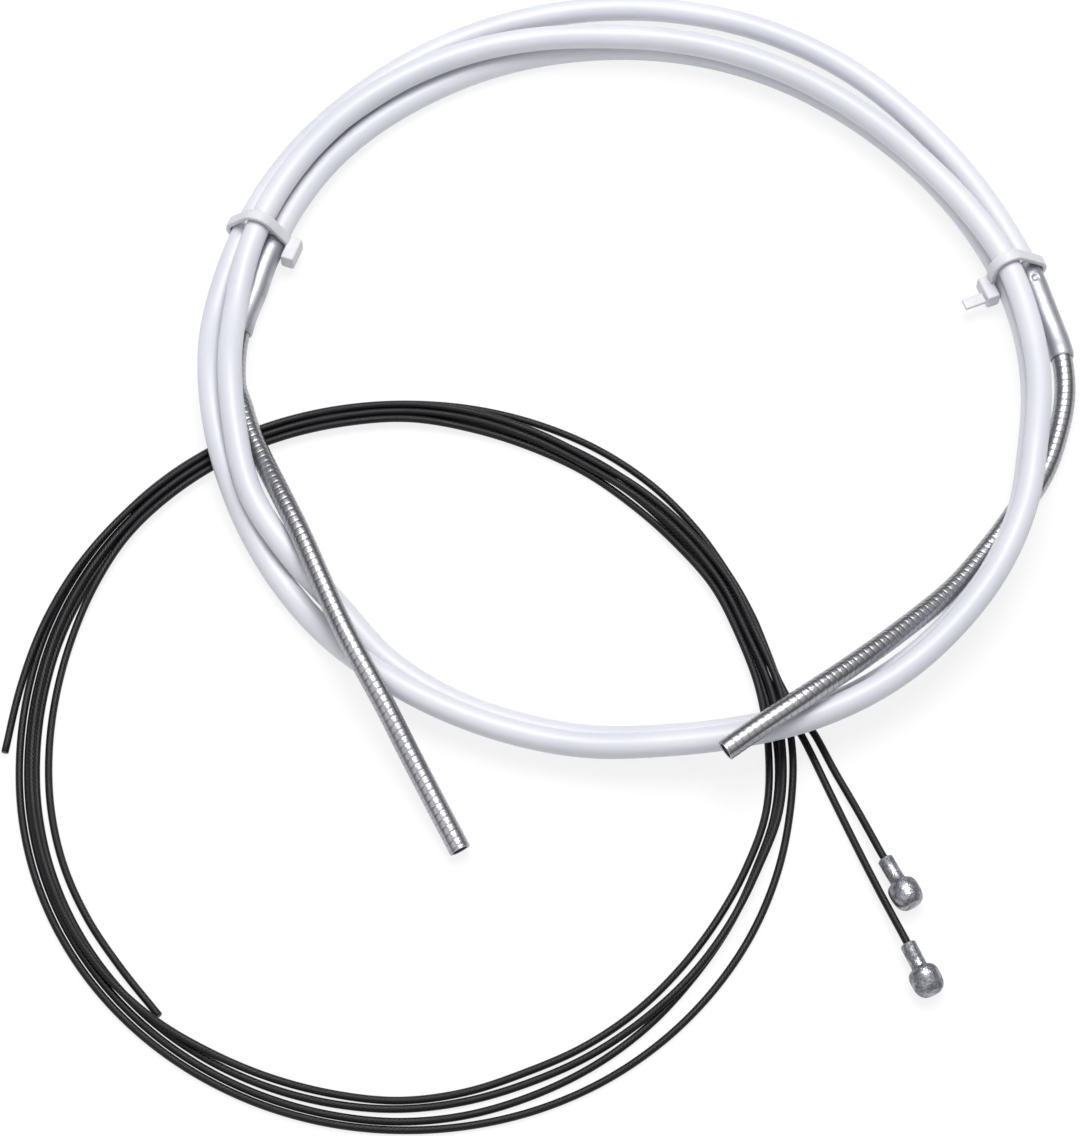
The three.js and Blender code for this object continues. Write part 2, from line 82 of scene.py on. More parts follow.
# The casing around its coil: (turning angle, inset from the coil's radius, layer)
CASING_LAPS = (
    (14, 0.0022, 0), (20, 0.0032, 0), (30, 0.004, 0), (40, 0.0039, 0), (50, 0.003, 0), (73, 0.0017, 0),
    (88, 0.0015, 0), (120, 0.002, 0), (141, 0.0025, 0), (157, 0.0024, 0), (163, 0.0022, 0),
    (170, 0.0015, 0), (177, 0.0013, 0), (184, 0.0016, 0), (208, 0.0012, 0), (224, 0.0005, 0),
    (234, -0.0005, 0.6), (244, -0.0009, 0.75), (258, -0.0013, 0.78), (271, -0.0015, 0.8),
    (285, -0.0028, 0.84), (300, -0.0038, 0.9), (326, -0.0015, 0.98), (346, 0.0032, 1),
    (360, 0.0049, 1.01), (368, 0.0066, 1.01), (377, 0.0077, 1.01), (387, 0.0106, 1.01),
    (400, 0.0122, 1), (414, 0.0128, 1), (448, 0.0123, 1), (475, 0.0085, 0.95), (495, 0.0061, 0.86),
    (518, 0.0057, 0.82), (527, 0.0059, 0.87), (536, 0.0062, 1.02), (545, 0.0059, 0.92),
    (550, 0.0056, 0.85), (566, 0.0038, 0.86), (574, 0.0048, 0.76), (584, 0.006, 0.1), (594, 0.0038, 0),
    (604, 0.0026, 0), (631, 0.0018, 0), (645, 0.0003, 0), (660, -0.0012, 0), (686, -0.0003, 0),
    (706, 0.0039, 0), (720, 0.0054, 0), (737, 0.008, 0), (750, 0.0102, 0), (775, 0.0116, 0),
    (808, 0.0115, 0), (840, 0.0103, 0), (860, 0.0092, 0), (874, 0.009, 0),
)

# Bare end A from its open tip, and bare end B to its open tip: (turning angle, inset, height)
BARE_END_A = (
    (-79.4, -0.0071, 0.015), (-74.6, -0.0039, 0.0157), (-68.4, -0.0009, 0.0155),
    (-59.8, 0.0022, 0.0126), (-50.2, 0.004, 0.0088), (-39.6, 0.0041, 0.0046), (-30, 0.0034, 0.0023),
    (-23.9, 0.0021, 0.0022), (-19.2, 0.0001, 0.0022), (-13.5, -0.0011, 0.0022), (-6.1, -0.002, 0.0024),
    (0.3, -0.0014, 0.0027), (6.6, 0.0007, 0.0034),
)
BARE_END_B = (
    (883.3, 0.0089, 0.004), (888.4, 0.0086, 0.0034), (893.4, 0.0074, 0.0028), (898.4, 0.0067, 0.0025),
    (904.2, 0.0066, 0.0029), (908.8, 0.0076, 0.0044), (913.8, 0.0082, 0.0056), (918.7, 0.0089, 0.0068),
    (926.5, 0.0091, 0.0094), (933.5, 0.0081, 0.0109), (940, 0.0058, 0.0114), (946.1, 0.0026, 0.0113),
    (951.1, -0.0006, 0.011), (958.6, -0.0063, 0.0086), (965, -0.0136, 0.0056), (972.7, -0.026, 0.0022),
)

# Shape of the wire coil: (angle, inset that every strand shares)
WIRE_DRIFT = (
    (0, 0.001), (30, 0.0015), (60, 0), (90, -0.0003), (120, -0.0008), (150, 0.0005), (180, 0.002),
    (210, 0.0016), (240, 0.001), (270, 0.0002), (300, -0.0005), (330, 0),
)

# The wires around their coil: (turning angle, place across the bundle, layer)
SHORT_WIRE_LAPS = (
    (30, 0.35, 0), (45, 0, 0), (240, 0, 0), (330, 0, 0), (350, 0.1, 0), (358, 0.1, 0.6),
    (364, 0.1, 1.15), (369, 0.5, 1.2), (373, 1.05, 1.1), (376, 1.2, 1.05), (383, 1.1, 1.05),
    (390, 0.9, 1.05), (405, 1.5, 1.17), (420, 2, 1), (435, 1.25, 1.17), (450, 0.5, 1), (490, 0.5, 1),
    (510, 0, 1.17), (523, -0.5, 1.05), (532, -1, 0.7), (541, -1.8, 0),
)
LONG_WIRE_LAPS = (
    (30, 1.4, 0), (60, 1.5, 0), (90, 1, 0), (240, 1, 0), (270, 1, 0), (293, 1.9, 0), (308, 2.4, 0),
    (322, 2.8, 0), (337, 2.7, 0), (352, 1.8, 0), (365, 1.8, 0), (372, 2.55, 0), (376, 2.7, 0),
    (383, 2.58, 0), (390, 2.45, 0), (420, 2.5, 0), (450, 2, 0), (582, 2, 0), (630, 2.5, 0),
    (653, 3.4, 0), (664, 3.35, 0.5), (676, 3, 1.1), (685, 2.8, 1.17), (697, 2.5, 1.17),
    (712, 1.3, 1.05), (727, 1.3, 1.05), (733, 2.05, 1.05), (736, 2.2, 1.05), (743, 2.1, 1.05),
    (750, 1.95, 1.05), (765, 2.45, 1.17), (775, 2.95, 1.05), (780, 3, 1), (795, 2.25, 1.17),
    (810, 1.5, 1), (930, 1.5, 1), (948, 2, 1.2), (960, 2.75, 1), (972, 3.25, 0.5), (982, 3.5, 0),
    (990, 3.5, 0), (1013, 4.7, 0), (1042, 4.6, 0), (1057, 3.9, 0), (1072, 2.85, 0), (1082, 2.9, 0.4),
    (1090, 3, 1.1), (1096, 3.2, 1.05), (1103, 3.1, 1.05), (1110, 2.97, 1.05), (1120, 3.4, 0.6),
    (1130, 3.6, 0), (1140, 3.5, 0), (1155, 3.25, 0.4), (1170, 2.5, 1), (1220, 2.5, 1),
    (1233, 3.1, 0.6), (1245, 3.4, 0), (1275, 3.5, 0), (1298, 3.75, 0), (1310, 3, 0),
)

# The wires between their heads and the coil, from the middle of the coil
SHORT_WIRE_LEAD = (
    (0.0883, -0.0132, 0.0021), (0.084, -0.0041, 0.0011), (0.0804, 0.0038, 0.00075),
    (0.0773, 0.0084, 0.00075), (0.075, 0.0123, 0.00075), (0.0731, 0.0166, 0.00075),
    (0.072, 0.0201, 0.00075), (0.0705, 0.0246, 0.00075), (0.0686, 0.0298, 0.00075),
)
LONG_WIRE_LEAD = (
    (0.0921, -0.0304, 0.0021), (0.0883, -0.0213, 0.0012), (0.0836, -0.01, 0.00075),
    (0.0783, 0.0026, 0.00075), (0.0757, 0.0071, 0.00075), (0.0733, 0.0116, 0.00075),
    (0.0714, 0.016, 0.00075), (0.0703, 0.0195, 0.00075), (0.0689, 0.024, 0.00075),
    (0.0671, 0.0289, 0.00075),
)


class Slot(Enum):
    """The record's material slots."""

    JACKET = "jacket"
    FLAT_WIRE = "flat_wire"
    LINER = "liner"
    SLEEVE = "sleeve"
    TIE = "tie"
    WIRE = "wire_coating"
    HEAD = "head"


class Turn(Enum):
    """Which way a cable tie's head points along the strands."""

    TOWARDS_START = 1
    TOWARDS_END = -1


class SmoothTable:
    """Values that change smoothly through rows of (angle, value, ...) and never swing past them.

    Each span is a cubic whose end slopes are the harmonic mean of the slopes beside them, or level
    where those two differ in sign.
    """

    def __init__(self, rows: tuple, ring: bool = False) -> None:
        """Works out the slopes.

        Args:
            rows: the rows, in rising order of angle.
            ring: whether the rows go once around a coil and meet themselves.
        """
        table = np.array(rows, float)
        if ring:
            first_column = np.arange(table.shape[1]) == 0
            table = np.concatenate([table + turn * first_column for turn in (-360, 0, 360)])
        self.ring = ring
        self.angles, self.values = table[:, 0], table[:, 1:]
        secants = np.diff(self.values, axis=0) / np.diff(self.angles)[:, None]
        before, after = secants[:-1], secants[1:]
        level = before * after <= 0
        safe = np.where(level, 1.0, before + after)
        self.slopes = np.zeros_like(self.values)
        self.slopes[1:-1] = np.where(level, 0.0, 2 * before * after / safe)

    def at(self, angles: Array) -> Array:
        """The values at these angles, one row for each.

        Args:
            angles: the angles to read the table at.

        Returns:
            An array with a row for each angle.
        """
        places = np.mod(angles, 360) if self.ring else np.asarray(angles, float)
        i = np.clip(np.searchsorted(self.angles, places) - 1, 0, len(self.angles) - 2)
        span = self.angles[i + 1] - self.angles[i]
        t = ((places - self.angles[i]) / span)[:, None]
        rise = (self.values[i + 1] - self.values[i]) * t * t * (3 - 2 * t)
        leaving = self.slopes[i] * t * (1 - t) ** 2
        arriving = self.slopes[i + 1] * t * t * (t - 1)
        return self.values[i] + rise + span[:, None] * (leaving + arriving)


class Centreline:
    """A smooth line through stations, read by distance along it."""

    def __init__(self, stations: Array) -> None:
        """Draws a Catmull-Rom curve through the stations, and measures it.

        Args:
            stations: points to pass through, one row for each.
        """
        before, after = 2 * stations[:1] - stations[1:2], 2 * stations[-1:] - stations[-2:-1]
        ends = np.concatenate([before, stations, after])
        a, b, c, d = ends[:-3, None], ends[1:-2, None], ends[2:-1, None], ends[3:, None]
        t = (np.arange(SPAN_STEPS) / SPAN_STEPS)[None, :, None]
        square, cube = 2 * a - 5 * b + 4 * c - d, 3 * b - a - 3 * c + d
        curve = 0.5 * (2 * b + (c - a) * t + square * t**2 + cube * t**3)
        self.points = np.concatenate([curve.reshape(-1, 3), stations[-1:]])
        steps = np.linalg.norm(np.diff(self.points, axis=0), axis=1)
        self.distances = np.concatenate([[0.0], np.cumsum(steps)])

    @property
    def length(self) -> float:
        """Length of the line."""
        return float(self.distances[-1])

    def at(self, distances: Array) -> Array:
        """The points at these distances, one row for each."""
        return np.stack([np.interp(distances, self.distances, axis) for axis in self.points.T], axis=1)

    def frames(self, distances: Array) -> tuple[Array, Array, Array]:
        """Points with the directions of an upright section there.

        Args:
            distances: where along the line.

        Returns:
            The points, and the sideways and upward directions across the line.
        """
        ahead = np.minimum(distances + TANGENT_REACH, self.length)
        behind = np.maximum(distances - TANGENT_REACH, 0)
        tangent = self.at(ahead) - self.at(behind)
        tangent /= np.linalg.norm(tangent, axis=1, keepdims=True)
        side = np.cross(UP, tangent)
        side /= np.linalg.norm(side, axis=1, keepdims=True)
        return self.at(distances), side, np.cross(tangent, side)


def spaced(start: float, end: float, step: float) -> Array:
    """Even distances from start to end, both included, about one step apart."""
    return np.linspace(start, end, max(int(round((end - start) / step)), 1) + 1)


def turns(sides: int) -> Array:
    """The directions of a ring's points, in radians."""
    return 2 * math.pi * np.arange(sides) / sides


def end_fall(along: Array, depth: float, length: float, power: int = 2) -> Array:
    """How far a radius falls at both ends: depth * (1 - distance from the end / length) ** power."""
    edge = np.minimum(along - along[0], along[-1] - along)
    return depth * np.clip(1 - edge / length, 0, 1) ** power


def added(name: str, data: bpy.types.ID) -> Piece:
    """A new object with this data, in the scene."""
    piece = bpy.data.objects.new(name, data)
    bpy.context.scene.collection.objects.link(piece)
    return piece


@dataclass
class Skin:
    """Rings of points along a piece, with a (around, along) coordinate for each point."""

    rings: Array
    along: Array

    @classmethod
    def around(cls, line: Centreline, distances: Array, radius: Array, sides: int) -> "Skin":
        """A round section carried along a line: centre + radius * (cos turn * side + sin turn * up).

        Args:
            line: the centreline.
            distances: where the rings are.
            radius: one radius, one for each ring, or one for each ring and side.
            sides: points in a ring.

        Returns:
            The rings.
        """
        centre, side, up = line.frames(distances)
        turn = turns(sides)
        reach = np.asarray(radius, float)
        if reach.ndim < 2:
            reach = reach.reshape(-1, 1)
        across = np.cos(turn)[None, :, None] * side[:, None] + np.sin(turn)[None, :, None] * up[:, None]
        return cls(centre[:, None] + reach[..., None] * across, distances)

    def joined(self, other: "Skin") -> "Skin":
        """This skin followed by another with as many sides."""
        return Skin(np.concatenate([self.rings, other.rings]), np.concatenate([self.along, other.along]))

    def reversed(self) -> "Skin":
        """The same rings in the opposite order, so that the surface faces the other way."""
        return Skin(self.rings[::-1], self.along[::-1])

    def to_object(self, name: str, closed: bool) -> Piece:
        """Makes the mesh: a quad for each step along and around, with flat caps where it isn't closed.

        Args:
            name: the piece's name.
            closed: whether the last ring joins the first, as on the wall of a tube.

        Returns:
            The new object, at the origin.
        """
        rows, sides = self.rings.shape[:2]
        steps = rows if closed else rows - 1
        i, j = np.meshgrid(np.arange(steps), np.arange(sides), indexing="ij")
        after_i, after_j = (i + 1) % rows, (j + 1) % sides
        corners = [i * sides + j, i * sides + after_j, after_i * sides + after_j, after_i * sides + j]
        quads = np.stack(corners, axis=-1).reshape(-1)
        lengths = [np.full(steps * sides, 4)]
        loops = [quads]
        u = np.stack([j, j + 1, j + 1, j], axis=-1).reshape(-1) / sides
        v = self.along[np.stack([i, i, after_i, after_i], axis=-1)].reshape(-1)
        if not closed:
            ring = np.arange(sides)
            loops += [ring[::-1], (rows - 1) * sides + ring]
            lengths += [np.array([sides, sides])]
            u = np.concatenate([u, ring[::-1] / sides, ring / sides])
            v = np.concatenate([v, np.full(sides, self.along[0]), np.full(sides, self.along[-1])])
        lengths = np.concatenate(lengths)
        mesh = bpy.data.meshes.new(name)
        mesh.vertices.add(rows * sides)
        mesh.vertices.foreach_set("co", self.rings.astype(np.float32).ravel())
        mesh.loops.add(int(lengths.sum()))
        mesh.loops.foreach_set("vertex_index", np.concatenate(loops).astype(np.int32))
        mesh.polygons.add(len(lengths))
        mesh.polygons.foreach_set("loop_start", (np.cumsum(lengths) - lengths).astype(np.int32))
        mesh.update(calc_edges=True)
        layer = mesh.uv_layers.new(name=UV_NAME)
        layer.data.foreach_set("uv", np.stack([u, v], axis=-1).astype(np.float32).ravel())
        mesh.validate()
        mesh.shade_smooth()
        mesh.set_sharp_from_angle(angle=math.radians(CREASE))
        return added(name, mesh)


def set_out(piece: Piece, finishes: dict, slot: Slot, node: str) -> Piece:
    """Puts that slot's finish on a piece, hides the imported node that it stands for, and lets it ride."""
    piece.data.materials.append(finishes[slot])
    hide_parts(node)
    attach(piece, BODY)
    log.info("%s: %d faces", piece.name, len(piece.data.polygons))
    return piece


def coil_stations(centre: tuple, radius: float, angles: Array, insets: Array, heights: Array) -> Array:
    """Points at centre + (radius - inset) * (cos angle, sin angle), at their heights."""
    turn, reach = np.radians(angles), radius - insets
    return np.stack([centre[0] + reach * np.cos(turn), centre[1] + reach * np.sin(turn), heights], axis=1)


@dataclass
class Casing:
    """The outer casing: a jacket on a tube of coiled flat wire, with a liner inside and two sleeves."""

    jacket_diameter: float = 0.005
    jacket_bore: float = 0.0044
    wire_diameter: float = 0.0043
    wire_bore: float = 0.003
    liner_diameter: float = 0.0028
    liner_bore: float = 0.0022
    liner_recess: float = 0.002
    sleeve_diameter: float = 0.0052
    sleeve_bore: float = 0.0044
    sleeve_length: float = 0.022
    clearance: float = 0.0003
    bare_a: float = 0.123
    bare_b: float = 0.126
    radius: float = 0.087
    centre: tuple = (0.0162, 0.0383)
    strap_rise: float = 0.0014
    wire_pile: float = 0.0036
    wire_pitch: float = 0.0015
    wire_sides: int = 28
    steps_per_turn: int = 9
    crown_power: int = 7
    groove: float = 0.0001
    bare_overlap: float = 0.003
    hidden_step: float = 0.003
    dimple_depth: float = 0.00045
    dimple_radius: float = 0.0007
    dimple_from_jacket: float = 0.004
    jacket_sides: int = 32
    jacket_step: float = 0.0018
    jacket_edge: float = 0.0015
    jacket_lip: float = 0.00012
    jacket_lip_length: float = 0.0003
    liner_sides: int = 20
    sleeve_sides: int = 56
    sleeve_step: float = 0.0002
    sleeve_bore_step: float = 0.002
    sleeve_lip: float = 0.00022
    sleeve_lip_length: float = 0.0007
    step: float = 0.004
    line: Centreline = field(init=False)

    def __post_init__(self) -> None:
        """Lays the route: bare end A, the coil, then bare end B."""
        angles = np.arange(CASING_LAPS[0][0], CASING_LAPS[-1][0] + 1, STATION_STEP)
        inset, layer = SmoothTable(CASING_LAPS).at(angles).T
        rise = SmoothTable(self.under_rows(), ring=True).at(angles)[:, 0]
        height = self.jacket_diameter / 2 + rise + layer * (self.jacket_diameter + self.clearance)
        routes = (np.array(BARE_END_A).T, (angles, inset, height), np.array(BARE_END_B).T)
        parts = [coil_stations(self.centre, self.radius, *route) for route in routes]
        self.line = Centreline(np.concatenate(parts))

    def under_rows(self) -> tuple:
        """What the casing lies on around its coil: rows of (angle, rise above the table)."""
        strap, pile, bare = self.strap_rise, self.wire_pile, self.wire_diameter + self.clearance
        return (
            (12, strap), (20, strap), (50, 0), (125, 0), (152, strap), (163, strap), (174, 0), (185, pile),
            (197, pile), (208, 0.0008), (218, 0.0002), (262, 0.0002), (284, pile), (298, pile), (329, bare),
            (342, bare), (355, 0.003),
        )

    @property
    def jacket_span(self) -> tuple[float, float]:
        """Where the jacket starts and ends along the casing."""
        start = self.bare_a + self.sleeve_length + self.clearance
        return start, self.line.length - self.bare_b - self.sleeve_length - self.clearance

    def build(self, finishes: dict) -> None:
        """Makes every piece of the casing.

        Args:
            finishes: the material of each slot.
        """
        jacket = self.jacket(finishes)
        wire = self.flat_wire(finishes)
        liner = self.liner(finishes)
        self.declare(jacket, wire, liner, *self.sleeves(finishes))

    def pipe(self, name: str, along: Array, radius: Array, sides: int, bore: float, step: float) -> Piece:
        """A tube: its outside, then a smooth bore on the same line, joined over the two end faces."""
        outer = Skin.around(self.line, along, radius, sides)
        inner = Skin.around(self.line, spaced(along[0], along[-1], step), bore / 2, sides)
        return outer.joined(inner.reversed()).to_object(name, closed=True)

    def jacket(self, finishes: dict) -> Piece:
        """The plastic jacket, with its cut ends a little rounded over."""
        start, end = self.jacket_span
        lip = np.array((0.0, self.jacket_lip, self.jacket_lip_length))
        middle = spaced(start + self.jacket_edge, end - self.jacket_edge, self.jacket_step)
        along = np.concatenate([start + lip, middle, end - lip[::-1]])
        radius = self.jacket_diameter / 2 - end_fall(along, self.jacket_lip, self.jacket_lip_length)
        piece = self.pipe("jacket", along, radius, self.jacket_sides, self.jacket_bore, self.step)
        return set_out(piece, finishes, Slot.JACKET, "casing_jacket")

    def flat_wire(self, finishes: dict) -> Piece:
        """The coiled flat wire: each turn of the bare ends is a rounded crown between two grooves.

        The radius at a distance s and a turn t falls by groove * |2 * place - 1| ** crown_power, where
        place is the share of s / pitch - t that is left over, so that the grooves wind around the tube.
        """
        fine, length = self.wire_pitch / self.steps_per_turn, self.line.length
        hidden_a, hidden_b = self.bare_a + self.bare_overlap, length - self.bare_b - self.bare_overlap
        hidden = spaced(hidden_a, hidden_b, self.hidden_step)[1:-1]
        along = np.concatenate([spaced(0, hidden_a, fine), hidden, spaced(hidden_b, length, fine)])
        turn = np.arange(self.wire_sides) / self.wire_sides
        place = np.mod(along[:, None] / self.wire_pitch - turn[None, :], 1)
        bare = ((along <= hidden_a) | (along >= hidden_b))[:, None]
        fall = np.where(bare, self.groove * np.abs(2 * place - 1) ** self.crown_power, self.groove / 2)
        radius = self.wire_diameter / 2 - fall
        piece = self.pipe("flat_wire", along, radius, self.wire_sides, self.wire_bore, self.hidden_step)
        self.mark_grooves(piece)
        return set_out(piece, finishes, Slot.FLAT_WIRE, "flat_wire_tube")

    def mark_grooves(self, piece: Piece) -> None:
        """Stores how deep in a groove each point lies, from 0 on a crown to 1, as the attribute groove, which
        the finish reads for painted shade.
        """
        mesh = piece.data
        points = np.empty(len(mesh.vertices) * 3, np.float32)
        mesh.vertices.foreach_get("co", points)
        points = points.reshape(-1, self.wire_sides, 3)
        middle = points.mean(axis=1, keepdims=True)
        reach = np.linalg.norm(points - middle, axis=2)
        depth = np.clip((self.wire_diameter / 2 - reach) / self.groove, 0, 1)
        attribute = mesh.attributes.new(GROOVE_NAME, "FLOAT", "POINT")
        attribute.data.foreach_set("value", depth.ravel().astype(np.float32))

    def liner(self, finishes: dict) -> Piece:
        """The liner tube inside the flat wire."""
        along = spaced(self.liner_recess, self.line.length - self.liner_recess, self.step)
        radius, sides = self.liner_diameter / 2, self.liner_sides
        piece = self.pipe("liner", along, radius, sides, self.liner_bore, self.step)
        return set_out(piece, finishes, Slot.LINER, "casing_liner")

    def sleeves(self, finishes: dict) -> list[Piece]:
        """The two metal sleeves, each with rolled edges, and a dimple in the upper side of the first."""
        sides = self.sleeve_sides
        starts = (self.bare_a, self.line.length - self.bare_b - self.sleeve_length)
        pieces = []
        for name, node, start in zip(("sleeve_a", "sleeve_b"), ("crimp_sleeve_a", "crimp_sleeve_b"), starts):
            along = spaced(start, start + self.sleeve_length, self.sleeve_step)
            radius = self.sleeve_diameter / 2 - end_fall(along, self.sleeve_lip, self.sleeve_lip_length)
            radius = np.repeat(radius[:, None], sides, axis=1)
            if name == "sleeve_a":
                radius -= self.dimple(along)
            piece = self.pipe(name, along, radius, sides, self.sleeve_bore, self.sleeve_bore_step)
            pieces.append(set_out(piece, finishes, Slot.SLEEVE, node))
        return pieces

    def dimple(self, along: Array) -> Array:
        """How deep the dimple is over a sleeve's grid: depth * exp(-(distance / radius) ** 4)."""
        turn = turns(self.sleeve_sides) - math.pi / 2
        across = np.angle(np.exp(1j * turn)) * self.sleeve_diameter / 2
        off = np.hypot(along[:, None] - (along[-1] - self.dimple_from_jacket), across[None, :])
        return self.dimple_depth * np.exp(-((off / self.dimple_radius) ** 4))

    def declare(self, jacket: Piece, wire: Piece, liner: Piece, *sleeves: Piece) -> None:
        start, end = self.jacket_span
        path = self.line.at(spaced(start, end, self.step))
        whole = self.line.at(spaced(0, self.line.length, self.step))


@dataclass
class CableTie:
    """A small nylon tie: a strap around the three strands on one line, its head, and maybe a cut tail.

    The line meets the coil's radius at the tie's angle, and is skewed from the way out there.
    """

    name: str
    node: str
    angle: float
    skew: float
    head_turn: Turn
    tail: bool
    strap_width: float = 0.0023
    strap_thickness: float = 0.001
    strap_clearance: float = 0.0003
    head_width: float = 0.0029
    head_height: float = 0.004
    head_length: float = 0.0054
    tail_length: float = 0.0045
    tail_inset: float = 0.0004
    tooth: float = 0.00012
    tooth_pitch: float = 0.0007
    tail_root: float = 0.0005
    tail_rings: int = 49
    strap_rings: int = 144
    strap_sides: int = 28
    head_rings: int = 41
    head_sides: int = 48
    head_squareness: int = 14
    smallest_share: float = 0.02

    def build(self, casing: Casing, finishes: dict) -> None:
        """Makes the strap, the head and the tail.

        Args:
            casing: the casing that the tie holds.
            finishes: the material of each slot.
        """
        rim, turn = math.radians(self.angle), math.radians(self.angle + self.skew)
        self.outward = np.array((math.cos(turn), math.sin(turn), 0.0))
        self.across = np.cross(self.outward, UP)
        way_out = np.array((math.cos(rim), math.sin(rim), 0.0))
        self.origin = np.array((*casing.centre, 0.0)) + casing.radius * (way_out - self.outward)
        strands = self.strands(casing)
        inner = casing.sleeve_diameter / 2 + self.strap_clearance
        inside = strands[:, 0].min() - inner
        lowest = strands[:, 1].min()
        pieces = [self.strap(strands, inner), self.head(inside, lowest)]
        if self.tail:
            pieces.append(self.cut_tail(inside, lowest))
        for piece in pieces:
            set_out(piece, finishes, Slot.TIE, self.node)

    def strands(self, casing: Casing) -> Array:
        """Where the casing crosses the tie's line: rows of (distance along the line, height)."""
        points = casing.line.points - self.origin
        along = points @ -self.across
        outside = points @ self.outward > 0
        hit = np.flatnonzero((along[:-1] < 0) & (along[1:] >= 0) & outside[:-1])
        share = (along[hit] / (along[hit] - along[hit + 1]))[:, None]
        crossing = points[hit] * (1 - share) + points[hit + 1] * share
        return np.stack([crossing @ self.outward, crossing[:, 2]], axis=1)

    def place(self, out: Array, up: Array, across: Array) -> Array:
        """Points from their distance outward, height, and offset along the strands."""
        flat = out[..., None] * self.outward + across[..., None] * self.across
        return self.origin + flat + up[..., None] * UP

    def strap(self, strands: Array, inner: float) -> Piece:
        """The strap, drawn tight: in each direction it touches the strand that reaches furthest that way.

        A row of the grid is one such direction, and a column is a point of the strap's section, a
        rectangle with round corners, carried outward from the touching strand.
        """
        turn = np.linspace(0, 2 * math.pi, self.strap_rings, endpoint=False)
        normal = np.stack([np.cos(turn), np.sin(turn)], axis=1)
        touched = strands[np.argmax(normal @ strands.T, axis=1)]
        depth, width = rounded_section(self.strap_thickness, self.strap_width, self.strap_sides)
        reach = inner + self.strap_thickness / 2 + depth[None, :]
        out = touched[:, :1] + normal[:, :1] * reach
        up = touched[:, 1:] + normal[:, 1:] * reach
        rings = self.place(out, up, np.broadcast_to(width, out.shape))
        return Skin(rings[:, ::-1], turn * inner).to_object(f"{self.name}_strap", closed=True)

    def head(self, inside: float, lowest: float) -> Piece:
        """The head block that locks the strap, on the inner side of the bundle.

        Its sections are one rounded rectangle, which shrinks towards both ends.
        """
        ends = np.sin(np.linspace(-math.pi / 2, math.pi / 2, self.head_rings))
        left = np.clip(1 - np.abs(ends) ** self.head_squareness, self.smallest_share, 1)
        scale = left[:, None] ** (1 / self.head_squareness)
        one, two = rounded_section(self.head_width, self.head_height, self.head_sides)
        middle = self.head_turn.value * (self.head_length - self.strap_width) / 2
        across = np.repeat((middle + ends * self.head_length / 2)[:, None], self.head_sides, axis=1)
        rings = self.place(inside - self.head_width / 2 + scale * one, lowest + scale * two, across)
        return Skin(rings, ends).to_object(f"{self.name}_head", closed=False)

    def cut_tail(self, inside: float, lowest: float) -> Piece:
        """The cut end of the strap, with its saw teeth: sections stepped along the tail."""
        start = inside - self.head_width + self.tail_root
        reach = np.linspace(0, self.tail_length + self.tail_root, self.tail_rings)
        tooth = self.tooth * np.mod(reach / self.tooth_pitch, 1)
        one, two = rounded_section(1.0, self.strap_width, self.strap_sides)
        up = lowest + one[None, :] * (self.strap_thickness - tooth)[:, None]
        offset = self.head_turn.value * (self.head_length - self.strap_width - self.tail_inset)
        out = np.repeat((start - reach)[:, None], self.strap_sides, axis=1)
        rings = self.place(out, up, np.broadcast_to(offset + two, up.shape))
        return Skin(rings[:, ::-1], reach).to_object(f"{self.name}_tail", closed=False)


def rounded_section(depth: float, width: float, points: int) -> tuple[Array, Array]:
    """A rectangle with round corners: size / 2 * sign(c) * |c| ** CORNER_POWER for a circle's c.

    Args:
        depth: the first size.
        width: the second size.
        points: points around the section.

    Returns:
        The two coordinates of each point.
    """
    turn = 2 * math.pi * (np.arange(points) + 0.5) / points
    first, second = (np.sign(wave) * np.abs(wave) ** CORNER_POWER for wave in (np.cos(turn), np.sin(turn)))
    return depth / 2 * first, width / 2 * second


